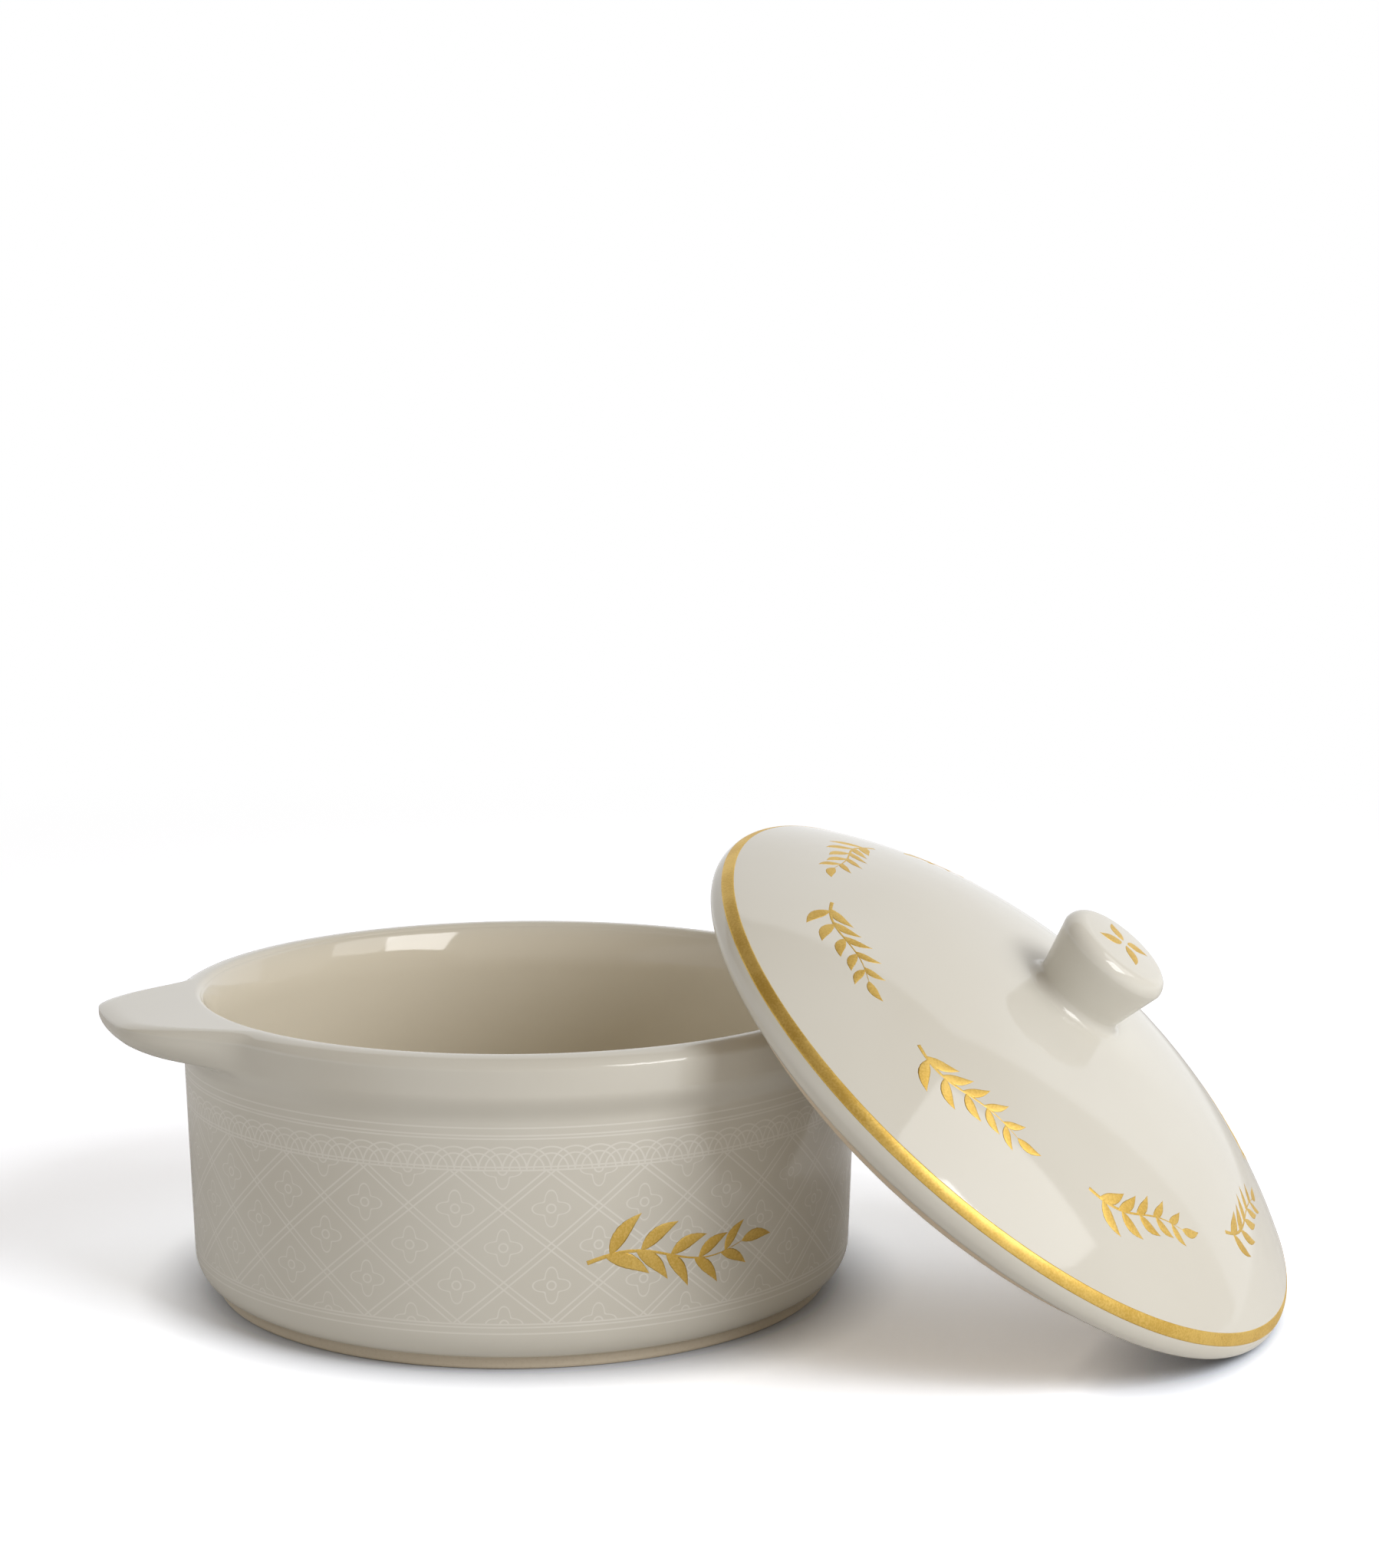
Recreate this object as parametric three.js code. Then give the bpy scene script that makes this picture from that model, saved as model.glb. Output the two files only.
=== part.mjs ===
// Round stoneware baker for one small soft cheese, with its lid taken off and leaning on the dish.
// Millimetres, +Z up. The origin is the centre of the dish's flat foot, +X points to the side where
// the lid leans, and +Y points away from the viewer. Angles are in degrees.

import * as THREE from 'three';

// Dish
const DISH_HEIGHT = 59.6;
const WALL_RADIUS = 66; // outside of the wall at half height
const WALL_DRAFT = 0.035; // growth of the wall's radius with height, so that the mould lets go
const WALL_THICKNESS = 6.4;
const BASE_THICKNESS = 6;
const FOOT_INSET = 5.3; // foot inside the wall
const FOOT_HEIGHT = 2.2;
const FOOT_ROUND = 0.8;
const FOOT_STEP = 0.5; // glazed body standing out over the bare foot
const HEEL_RADIUS = 7; // outside corner between foot and wall
const WELL_FILLET = 10; // inside corner between wall and floor

// Rim band and lip of the dish
const RIM_PROUD = 1.7; // band standing out from the wall
const RIM_BAND_HEIGHT = 9.4;
const RIM_BLEND = 5.6; // height over which the wall sweeps out into the band
const LIP_ROUND = 2.6; // outer edge of the lip
const LIP_ROUND_HEIGHT = 3.6;
const MOUTH_ROUND = 1; // inner edge of the lip
const MOUTH_FLARE = 28; // slope of the well's wall where it opens out to the lip
const MOUTH_FLARE_RADIUS = 20; // curve that leads from the upright wall to that slope

// Lugs, two opposite tabs drawn out of the rim band
const LUG_REACH = 15.2; // past the band
const LUG_ROOT_WIDTH = 58;
const LUG_TIP_WIDTH = 16;
const LUG_ROOT_DEPTH = 10.2; // from the lip down to where the underside leaves the wall
const LUG_EDGE_DEPTH = 1; // from the lip down to where the underside has swept out to the tip
const LUG_ROOT_BLEND = 3.2; // height over which the underside eases off the wall
const LUG_BEARING = 201;

// Lid, double-walled, so that its underside is closed
const LID_OVERHANG = 0.1; // past the rim band when the lid is on
const LID_CROWN = 22.3; // top of the dome above the widest line of the edge
const EDGE_ROUND = 3.4;
const EDGE_ABOVE = 4.6; // height of the rounded edge above its widest line
const EDGE_BELOW = 3;
const DOME_START = 64; // place on the rounded edge where the dome takes over

// Plug under the lid that keeps it in the dish's mouth
const PLUG_DEPTH = 3.8;
const PLUG_PLAY = 0.5; // between the plug and the well below its flared mouth
const PLUG_ROUND = 1;
const PLUG_LAND = 6; // flat ring at the rim of the plug
const PLUG_DISH = 0.6; // hollow of the plug's face inside the land
const PLUG_DISH_SLOPE = 2;

// Gilt line let into the shoulder of the lid
const GILT_FROM = 26;
const GILT_TO = 61;
const GILT_THICKNESS = 0.5;
const GILT_GAP = 0.2;

// Knob
const KNOB_HEIGHT = 14;
const KNOB_NECK_RADIUS = 8.3;
const KNOB_TOP_RADIUS = 11.4;
const KNOB_TOP_ROUND = 2.8;
const KNOB_TOP_CROWN = 0.5;
const KNOB_FLARE = 2.4; // fillet where the knob spreads onto the dome
const KNOB_FOOT = 0.4;
const KNOB_GAP = 0.3;

// How the lid leans on the dish
const LEAN_TILT = 39.5;
const LEAN_BEARING = -22;
const LEAN_SIDE = 13.7; // lid's centre to the left of the bearing through the dish's centre
const LEAN_GAP = 0.3;
const LEAN_SAMPLES = 720; // directions in which the rim is tried against the lid
const LEAN_HALVINGS = 40;

// Fineness of the facets
const DISH_SIDES = 84;
const LUG_CROWDING = 0.28; // 0 spreads the sides evenly, more crowds them towards the lugs
const LID_SIDES = 72;
const KNOB_SIDES = 44;
const ROUND_STEPS = 4;
const SMALL_ROUND_STEPS = 2;
const BAND_STEPS = 9;
const DOME_STEPS = 9;
const GILT_STEPS = 3;

const DISH_GLAZE = { color: 0xcfc7b8, roughness: 0.16, metalness: 0 };
const LID_GLAZE = { color: 0xdcd8ce, roughness: 0.14, metalness: 0 };
const GILT = { color: 0xc2903f, roughness: 0.3, metalness: 1 };

const RIGHT_ANGLE = 90;
const radians = THREE.MathUtils.degToRad;
const degrees = THREE.MathUtils.radToDeg;

const RIM_RADIUS = wallRadius(DISH_HEIGHT) + RIM_PROUD;
const MOUTH_RADIUS = wallRadius(DISH_HEIGHT) - WALL_THICKNESS;
const LID_RADIUS = RIM_RADIUS + LID_OVERHANG;
const EDGE_CENTRE = LID_RADIUS - EDGE_ROUND;
const PLUG_RADIUS = MOUTH_RADIUS - PLUG_PLAY;
const PLUG_BOTTOM = -EDGE_BELOW - PLUG_DEPTH;
const DISH_FACE_RADIUS = PLUG_RADIUS - PLUG_LAND - PLUG_DISH_SLOPE;

function wallRadius(height) {
  return WALL_RADIUS + WALL_DRAFT * (height - DISH_HEIGHT / 2);
}

function corner(radius, height) {
  return new THREE.Vector2(radius, height);
}

// Points of a round or elliptical arc in a profile, its ends included
function arc(centre, size, from, to, steps) {
  const points = [];
  for (let step = 0; step <= steps; step += 1) {
    const angle = radians(THREE.MathUtils.lerp(from, to, step / steps));
    points.push(corner(centre.x + size.x * Math.cos(angle), centre.y + size.y * Math.sin(angle)));
  }
  return points;
}

function roundArc(radius, height, size, from, to, steps) {
  return arc(corner(radius, height), corner(size, size), from, to, steps);
}

// Foot, heel and wall, from the middle of the foot up to the rim band
function outsideProfile() {
  const footRadius = WALL_RADIUS - FOOT_INSET;
  const heelCentre = wallRadius(FOOT_HEIGHT + HEEL_RADIUS) - HEEL_RADIUS;
  const heelFrom = -Math.acos((footRadius + FOOT_STEP - heelCentre) / HEEL_RADIUS);
  const heelHeight = FOOT_HEIGHT - HEEL_RADIUS * Math.sin(heelFrom);
  return [
    corner(0, 0),
    ...roundArc(footRadius - FOOT_ROUND, FOOT_ROUND, FOOT_ROUND, -RIGHT_ANGLE, 0, SMALL_ROUND_STEPS),
    corner(footRadius, FOOT_HEIGHT),
    ...roundArc(heelCentre, heelHeight, HEEL_RADIUS, degrees(heelFrom), 0, ROUND_STEPS),
  ];
}

// Wall that sweeps out into the rim band
function bandRadius(height) {
  const blendBottom = DISH_HEIGHT - RIM_BAND_HEIGHT - RIM_BLEND / 2;
  const share = THREE.MathUtils.smoothstep(height, blendBottom, blendBottom + RIM_BLEND);
  return THREE.MathUtils.lerp(wallRadius(height), RIM_RADIUS, share);
}

// Top of the wall, the rim band and the outer edge of the lip
function bandProfile() {
  const bottom = DISH_HEIGHT - Math.max(LUG_ROOT_DEPTH, RIM_BAND_HEIGHT + RIM_BLEND / 2);
  const lip = corner(RIM_RADIUS - LIP_ROUND, DISH_HEIGHT - LIP_ROUND_HEIGHT);
  const points = [];
  for (let step = 0; step < BAND_STEPS; step += 1) {
    const height = THREE.MathUtils.lerp(bottom, lip.y, step / BAND_STEPS);
    points.push(corner(bandRadius(height), height));
  }
  return [...points, ...arc(lip, corner(LIP_ROUND, LIP_ROUND_HEIGHT), 0, RIGHT_ANGLE, ROUND_STEPS)];
}

// Inner edge of the lip, the flared mouth, the well's wall and its floor
function wellProfile() {
  const filletHeight = BASE_THICKNESS + WELL_FILLET;
  const filletCentre = wallRadius(filletHeight) - WALL_THICKNESS - WELL_FILLET;
  const slope = radians(MOUTH_FLARE);
  const flareFrom = 2 * RIGHT_ANGLE - MOUTH_FLARE;
  const flareCentre = MOUTH_RADIUS + MOUTH_FLARE_RADIUS;
  const edge = corner(
    flareCentre - (MOUTH_FLARE_RADIUS - MOUTH_ROUND) * Math.cos(slope),
    DISH_HEIGHT - MOUTH_ROUND,
  );
  const flareBottom = edge.y - (MOUTH_FLARE_RADIUS - MOUTH_ROUND) * Math.sin(slope);
  return [
    ...roundArc(edge.x, edge.y, MOUTH_ROUND, RIGHT_ANGLE, flareFrom, SMALL_ROUND_STEPS).slice(0, -1),
    ...roundArc(flareCentre, flareBottom, MOUTH_FLARE_RADIUS, flareFrom, 2 * RIGHT_ANGLE, SMALL_ROUND_STEPS),
    ...roundArc(filletCentre, filletHeight, WELL_FILLET, 0, -RIGHT_ANGLE, ROUND_STEPS),
    corner(0, BASE_THICKNESS),
  ];
}

// Share of the lugs' reach in a direction, from 0 beside a lug to 1 at its tip
function lugPlan(angle) {
  const away = Math.asin(Math.abs(Math.sin(angle - radians(LUG_BEARING))));
  const root = Math.asin(LUG_ROOT_WIDTH / 2 / RIM_RADIUS);
  const tip = Math.asin(LUG_TIP_WIDTH / 2 / (RIM_RADIUS + LUG_REACH));
  return THREE.MathUtils.smoothstep(root - away, 0, root - tip);
}

// Share of the lugs' reach at a height: the underside is a quarter of an ellipse that eases off the wall
function lugSection(height) {
  const rise = height - DISH_HEIGHT + LUG_ROOT_DEPTH;
  const sweep = Math.min(rise / (LUG_ROOT_DEPTH - LUG_EDGE_DEPTH), 1);
  return Math.sin(radians(RIGHT_ANGLE) * sweep) * THREE.MathUtils.smoothstep(rise, 0, LUG_ROOT_BLEND);
}

function bandPoint(point, angle) {
  const radius = point.x + LUG_REACH * lugPlan(angle) * lugSection(point.y);
  return new THREE.Vector3(radius * Math.cos(angle), radius * Math.sin(angle), point.y);
}

function plainPoint(point, angle) {
  return new THREE.Vector3(point.x * Math.cos(angle), point.x * Math.sin(angle), point.y);
}

// Revolved dish whose rim band is then drawn out into the two lugs
function dishGeometry() {
  const outside = outsideProfile();
  const band = bandProfile();
  const profile = [...outside, ...band, ...wellProfile()];
  const geometry = new THREE.LatheGeometry(profile, DISH_SIDES);
  const vertices = geometry.attributes.position;
  for (let index = 0; index < vertices.count; index += 1) {
    const row = index % profile.length;
    const side = Math.floor(index / profile.length) % DISH_SIDES;
    const turn = 2 * Math.PI * side / DISH_SIDES;
    const angle = radians(LUG_BEARING) + turn - LUG_CROWDING * Math.sin(2 * turn);
    const inBand = row >= outside.length && row < outside.length + band.length;
    const place = inBand ? bandPoint : plainPoint;
    vertices.setXYZ(index, ...place(profile[row], angle));
  }
  geometry.computeVertexNormals();
  return geometry;
}

// Arc of the lid's edge above its widest line, or of a line that lies deeper than its surface
function shoulderArc(depth, from, to) {
  const size = corner(EDGE_ROUND - depth, EDGE_ABOVE - depth);
  return arc(corner(EDGE_CENTRE, 0), size, from, to, GILT_STEPS);
}

function shoulderPoint(angle) {
  return shoulderArc(0, angle, angle)[0];
}

// Dome that leaves the rounded edge without a crease
function domeHeight(radius) {
  const start = shoulderPoint(DOME_START);
  const slope = EDGE_ABOVE / EDGE_ROUND / Math.tan(radians(DOME_START));
  const rise = LID_CROWN - start.y;
  const power = slope * start.x / rise;
  return start.y + rise * (1 - (radius / start.x) ** power);
}

function domeProfile() {
  const start = shoulderPoint(DOME_START);
  const points = [];
  for (let step = 0; step <= DOME_STEPS; step += 1) {
    const radius = THREE.MathUtils.lerp(start.x, 0, step / DOME_STEPS);
    points.push(corner(radius, domeHeight(radius)));
  }
  return points;
}

// Lid, from the middle of its underside round the edge to the middle of the dome
function lidGeometry() {
  const edge = corner(EDGE_CENTRE, 0);
  const plugRound = corner(PLUG_RADIUS - PLUG_ROUND, PLUG_BOTTOM + PLUG_ROUND);
  const profile = [
    corner(0, PLUG_BOTTOM + PLUG_DISH),
    corner(DISH_FACE_RADIUS, PLUG_BOTTOM + PLUG_DISH),
    corner(DISH_FACE_RADIUS + PLUG_DISH_SLOPE, PLUG_BOTTOM),
    ...roundArc(plugRound.x, plugRound.y, PLUG_ROUND, -RIGHT_ANGLE, 0, SMALL_ROUND_STEPS),
    corner(PLUG_RADIUS, -EDGE_BELOW),
    ...arc(edge, corner(EDGE_ROUND, EDGE_BELOW), -RIGHT_ANGLE, 0, ROUND_STEPS),
    shoulderPoint(GILT_FROM / 2),
    shoulderPoint(GILT_FROM),
    ...shoulderArc(GILT_THICKNESS + GILT_GAP, GILT_FROM, GILT_TO),
    shoulderPoint(GILT_TO),
    ...domeProfile(),
  ];
  return revolve(profile, LID_SIDES);
}

function giltGeometry() {
  const margin = degrees(GILT_GAP / EDGE_ROUND);
  const from = GILT_FROM + margin;
  const to = GILT_TO - margin;
  const outer = shoulderArc(0, from, to);
  const inner = shoulderArc(GILT_THICKNESS, to, from);
  return revolve([...outer, ...inner, outer[0]], LID_SIDES);
}

function knobGeometry() {
  const bottom = LID_CROWN + KNOB_GAP;
  const flareHeight = bottom + KNOB_FOOT + KNOB_FLARE;
  const flareRadius = KNOB_NECK_RADIUS + KNOB_FLARE;
  const top = bottom + KNOB_HEIGHT;
  const faceRadius = KNOB_TOP_RADIUS - KNOB_TOP_ROUND;
  const profile = [
    corner(0, bottom),
    corner(flareRadius, bottom),
    ...roundArc(flareRadius, flareHeight, KNOB_FLARE, -RIGHT_ANGLE, -2 * RIGHT_ANGLE, ROUND_STEPS),
    ...roundArc(faceRadius, top - KNOB_TOP_ROUND, KNOB_TOP_ROUND, 0, RIGHT_ANGLE, ROUND_STEPS),
    corner(0, top + KNOB_TOP_CROWN),
  ];
  return revolve(profile, KNOB_SIDES);
}

// Solid of revolution about +Z from a profile that runs with the solid on its left
function revolve(profile, sides) {
  const geometry = new THREE.LatheGeometry(profile, sides);
  geometry.rotateX(radians(RIGHT_ANGLE));
  return geometry;
}

// Lowest surface of the lid at a radius, in the lid's own frame
function undersideHeight(radius) {
  if (radius < DISH_FACE_RADIUS) {
    return PLUG_BOTTOM + PLUG_DISH;
  }
  if (radius < PLUG_RADIUS) {
    return PLUG_BOTTOM;
  }
  if (radius < EDGE_CENTRE) {
    return -EDGE_BELOW;
  }
  if (radius < LID_RADIUS) {
    return -EDGE_BELOW * Math.sqrt(1 - ((radius - EDGE_CENTRE) / EDGE_ROUND) ** 2);
  }
  return Infinity;
}

// Place of the lid with its edge on the ground, its centre a distance away from the dish's axis
function leaningLid(distance) {
  const tilt = radians(LEAN_TILT);
  const bearing = radians(LEAN_BEARING);
  const edgeDrop = Math.hypot(EDGE_ROUND * Math.sin(tilt), EDGE_BELOW * Math.cos(tilt));
  const lid = new THREE.Group();
  lid.position.set(
    distance * Math.cos(bearing) - LEAN_SIDE * Math.sin(bearing),
    distance * Math.sin(bearing) + LEAN_SIDE * Math.cos(bearing),
    EDGE_CENTRE * Math.sin(tilt) + edgeDrop,
  );
  lid.rotation.set(0, tilt, bearing, 'ZYX');
  lid.updateMatrixWorld();
  return lid;
}

// Points all round the rim band and the lip, lugs included, that the lid can touch
function rimPoints() {
  const band = bandProfile();
  const lip = wellProfile().filter((point) => point.y > DISH_HEIGHT - RIM_BAND_HEIGHT);
  const points = [];
  for (let sample = 0; sample < LEAN_SAMPLES; sample += 1) {
    const angle = 2 * Math.PI * sample / LEAN_SAMPLES;
    points.push(...band.map((point) => bandPoint(point, angle)));
    points.push(...lip.map((point) => plainPoint(point, angle)));
  }
  return points;
}

// Least height of the lid's underside over the rim, with the gap to the sides kept as well
function leanClearance(lid, rim) {
  const heights = [];
  for (const point of rim) {
    const local = lid.worldToLocal(point.clone());
    const radius = Math.hypot(local.x, local.y);
    for (const aside of [-LEAN_GAP, 0, LEAN_GAP]) {
      heights.push(undersideHeight(Math.abs(radius + aside)) - local.z);
    }
  }
  return heights.reduce((least, height) => Math.min(least, height));
}

// Lid slid in towards the dish until it leans on the rim
function settledLid() {
  const rim = rimPoints();
  let near = 0;
  let far = LID_RADIUS + RIM_RADIUS + LUG_REACH;
  for (let halving = 0; halving < LEAN_HALVINGS; halving += 1) {
    const middle = (near + far) / 2;
    if (leanClearance(leaningLid(middle), rim) < LEAN_GAP) {
      near = middle;
    } else {
      far = middle;
    }
  }
  return leaningLid(far);
}

function piece(name, geometry, finish) {
  const mesh = new THREE.Mesh(geometry, new THREE.MeshStandardMaterial(finish));
  mesh.name = name;
  return mesh;
}

const lid = settledLid();
lid.add(piece('lid', lidGeometry(), LID_GLAZE));
lid.add(piece('lid_gilt_line', giltGeometry(), GILT));
lid.add(piece('lid_knob', knobGeometry(), LID_GLAZE));

const baker = new THREE.Group();
baker.add(piece('dish', dishGeometry(), DISH_GLAZE));
baker.add(lid);

export default baker;
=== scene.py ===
"""Looks of a round stoneware cheese baker whose lid leans on the dish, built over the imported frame."""

import math

import bpy
from mathutils import Matrix, Vector


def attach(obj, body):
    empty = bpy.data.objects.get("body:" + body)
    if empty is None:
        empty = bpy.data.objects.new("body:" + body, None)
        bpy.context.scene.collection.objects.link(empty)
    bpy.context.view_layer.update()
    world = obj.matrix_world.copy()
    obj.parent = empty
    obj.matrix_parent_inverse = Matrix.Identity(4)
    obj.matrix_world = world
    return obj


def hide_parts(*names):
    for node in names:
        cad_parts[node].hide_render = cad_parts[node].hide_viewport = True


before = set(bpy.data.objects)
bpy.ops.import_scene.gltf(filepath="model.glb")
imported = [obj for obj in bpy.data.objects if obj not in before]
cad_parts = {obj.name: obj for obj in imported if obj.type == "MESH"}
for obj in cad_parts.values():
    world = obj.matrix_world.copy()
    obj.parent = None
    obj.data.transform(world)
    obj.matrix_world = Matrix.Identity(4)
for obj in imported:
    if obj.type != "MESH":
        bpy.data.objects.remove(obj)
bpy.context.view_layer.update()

MM = 0.001

# Dish, in millimetres and degrees; some sizes differ a little from the part's own
DISH_HEIGHT = 59.6
WALL_RADIUS = 66  # outside of the wall at half height
WALL_DRAFT = 0.035
WALL_THICKNESS = 6.4
BASE_THICKNESS = 6
FOOT_INSET = 5.2
FOOT_ROUND = 0.8
HEEL_RADIUS = 6.4
HEEL_TOP = 8.4
WELL_FILLET = 10
RIM_PROUD = 1.68
RIM_BAND_HEIGHT = 9.4
RIM_BLEND = 5.6
LIP_ROUND = 1.2  # tight curve at the outer edge of the lip
LIP_CROWN = 5  # broad curve from there to its top
LIP_TURN = 45  # slope at which the one passes into the other
MOUTH_FLARE_RADIUS = 20  # curve by which the well opens towards the lip
MOUTH_FLARE = 28  # slope of the well's wall where it reaches the lip
MOUTH_ROUND = 1.6
LUG_REACH = 14.2
LUG_ROOT_WIDTH = 58
LUG_TIP_WIDTH = 19
LUG_ROOT_DEPTH = 9.6
LUG_EDGE_DEPTH = 2
LUG_ROOT_BLEND = 3.2
LUG_LIP = 0.4  # share of the lip's depth that is left at a lug's tip
LUG_BEARING = 201

# Lid, with heights above the widest line of its edge
LID_OVERHANG = 0.03
LID_CROWN = 22.3
EDGE_ROUND = 3.4
EDGE_ABOVE = 4.6
EDGE_BELOW = 3
DOME_START = 64
PLUG_DEPTH = 3.8
PLUG_RADIUS = 60.14
PLUG_ROUND = 1
PLUG_LAND = 6
PLUG_DISH = 0.6
PLUG_DISH_SLOPE = 2
GILT_FROM = 26
GILT_TO = 61
KNOB_HEIGHT = 14
KNOB_NECK_RADIUS = 9.1
KNOB_TOP_RADIUS = 11.4
KNOB_TOP_ROUND = 3.1
KNOB_TOP_CROWN = 0.5
KNOB_FLARE = 2.2
KNOB_FLARE_HEIGHT = 2.2
KNOB_GAP = 0.3
LID_CENTRE = (93.37, -22.95, 44.79)
LEAN_TILT = 39.5
LEAN_BEARING = -22

# Gold ornament: films of fired gold on the glaze
FILM_LIFT = 0.02
FILM_SINK = 0.01
FILM_EDGE = 0.25  # share of the half width over which the film rises
LEAF_BEND = 0.08  # of the leaf's length
LEAF_TIP = 0.06  # half width at the ends of leaves and stems
LEAF_FULLNESS = 0.8  # below 1 the widest place lies nearer to the leaf's foot
LEAF_SPREAD = 38
LEAVES_FROM = 0.12  # shares of the stem between which the pairs of leaves sit
LEAVES_TO = 0.86
LAST_PAIR = 0.72  # size of the last pair against the first
END_LEAF = 0.8
SPRIG_STAGGER = 0.015  # of the stem, between the two leaves of a pair and its middle
WALL_SPRIG = {
    "length": 32, "sway": 1.6, "pairs": 5, "leaf_length": 9.5, "leaf_width": 3.1, "stem_width": 0.45,
}
WALL_SPRIG_BEARING = -63
WALL_SPRIG_HEIGHT = 21
LID_SPRIG = {
    "length": 24, "sway": 0.9, "pairs": 5, "leaf_length": 6.6, "leaf_width": 2.3, "stem_width": 0.35,
}
LID_SPRIG_RADIUS = 51
LID_SPRIGS = 8
PETAL_TURNS = (45, 135, 225, 315)
PETAL_GAP = 0.8
PETAL_LENGTH = 5.6
PETAL_WIDTH = 2.9

# Fineness of the meshes
DISH_SIDES = 288
LID_SIDES = 256
KNOB_SIDES = 96
RUN = 1.6  # longest stretch of a profile between two rows of points
ARC_STEPS = 12
BAND_STEPS = 48
LEAF_STEPS = 12
STEM_STEPS = 24
LINE_REACH = 0.01  # share of a line to both sides of a point, for its direction there
STEM_REACH = 0.02  # the same on a stem, for the heading of its leaves
SLOPE_REACH = 0.1  # to both sides of a point of the dome, for its slope there


def wall_radius(height):
    return WALL_RADIUS + WALL_DRAFT * (height - DISH_HEIGHT / 2)


RIM_RADIUS = wall_radius(DISH_HEIGHT) + RIM_PROUD
LID_RADIUS = RIM_RADIUS + LID_OVERHANG
EDGE_CENTRE = LID_RADIUS - EDGE_ROUND
PLUG_BOTTOM = -EDGE_BELOW - PLUG_DEPTH
KNOB_FACE_RADIUS = KNOB_TOP_RADIUS - KNOB_TOP_ROUND
KNOB_TOP = LID_CROWN + KNOB_GAP + KNOB_HEIGHT
LID_FRAME = (
    Matrix.Translation(LID_CENTRE)
    @ Matrix.Rotation(math.radians(LEAN_BEARING), 4, "Z")
    @ Matrix.Rotation(math.radians(LEAN_TILT), 4, "Y")
)


def lerp(low, high, share):
    return low + (high - low) * share


def ease(value, low, high):
    """0 below low, 1 above high, and a smooth step between them."""
    share = min(max((value - low) / (high - low), 0), 1)
    return share * share * (3 - 2 * share)


def arc(centre, size, start, end):
    """Points of a round or elliptical arc in a profile, its ends included."""
    points = []
    for step in range(ARC_STEPS + 1):
        angle = math.radians(lerp(start, end, step / ARC_STEPS))
        points.append((centre[0] + size[0] * math.cos(angle), centre[1] + size[1] * math.sin(angle)))
    return points


def round_arc(centre, radius, start, end):
    return arc(centre, (radius, radius), start, end)


def refine(profile):
    """The profile with its long straight stretches divided."""
    points = [profile[0]]
    for start, end in zip(profile, profile[1:]):
        parts = max(1, math.ceil(math.dist(start, end) / RUN))
        for part in range(1, parts + 1):
            points.append(tuple(lerp(a, b, part / parts) for a, b in zip(start, end)))
    return points


def mesh_piece(name, points, faces):
    """A smooth mesh from points in millimetres in the row frame."""
    mesh = bpy.data.meshes.new(name)
    mesh.from_pydata([Vector(point) * MM for point in points], [], faces)
    mesh.shade_smooth()
    piece = bpy.data.objects.new(name, mesh)
    bpy.context.collection.objects.link(piece)
    return piece


def lathe(name, profile, sides, place, loop=False):
    """A surface swept round the axis from a profile whose first value is the radius."""
    points = []
    rings = []
    for row in profile:
        count = sides if row[0] > 0 else 1
        first = len(points)
        points += [place(row, 2 * math.pi * side / sides) for side in range(count)]
        rings.append([first + side % count for side in range(sides)])
    if loop:
        rings.append(rings[0])
    faces = []
    for low, high in zip(rings, rings[1:]):
        for side in range(sides):
            after = (side + 1) % sides
            corners = (low[side], low[after], high[after], high[side])
            faces.append(tuple(dict.fromkeys(corners)))
    return mesh_piece(name, points, faces)


def on_lid(row, angle):
    """A point of the leaning lid from its radius, height and angle in the lid's own frame."""
    return LID_FRAME @ Vector((row[0] * math.cos(angle), row[0] * math.sin(angle), row[1]))


# Dish


def band_radius(height):
    """Wall that sweeps out into the rim band."""
    blend_bottom = DISH_HEIGHT - RIM_BAND_HEIGHT - RIM_BLEND / 2
    share = ease(height, blend_bottom, blend_bottom + RIM_BLEND)
    return lerp(wall_radius(height), RIM_RADIUS, share)


def lug_plan(angle):
    """Share of the lugs' reach in a direction, from 0 beside a lug to 1 at its tip."""
    away = math.asin(abs(math.sin(angle - math.radians(LUG_BEARING))))
    root = math.asin(LUG_ROOT_WIDTH / 2 / RIM_RADIUS)
    tip = math.asin(LUG_TIP_WIDTH / 2 / (RIM_RADIUS + LUG_REACH))
    return ease(root - away, 0, root - tip)


def lug_section(height):
    """Share of the lugs' reach at a height: a quarter of an ellipse that eases off the wall."""
    rise = max(height - DISH_HEIGHT + LUG_ROOT_DEPTH, 0)
    sweep = min(rise / (LUG_ROOT_DEPTH - LUG_EDGE_DEPTH), 1)
    return math.sin(math.pi / 2 * sweep) * ease(rise, 0, LUG_ROOT_BLEND)


def lug_height(height):
    """Height at a lug's tip, where the lip is flatter than along the rim."""
    drop = DISH_HEIGHT - height
    lip_depth = LIP_CROWN - (LIP_CROWN - LIP_ROUND) * math.sin(math.radians(LIP_TURN))
    if drop < lip_depth:
        return DISH_HEIGHT - drop * LUG_LIP
    share = min((drop - lip_depth) / (LUG_ROOT_DEPTH - lip_depth), 1)
    return lerp(DISH_HEIGHT - lip_depth * LUG_LIP, min(height, DISH_HEIGHT - LUG_ROOT_DEPTH), share)


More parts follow.
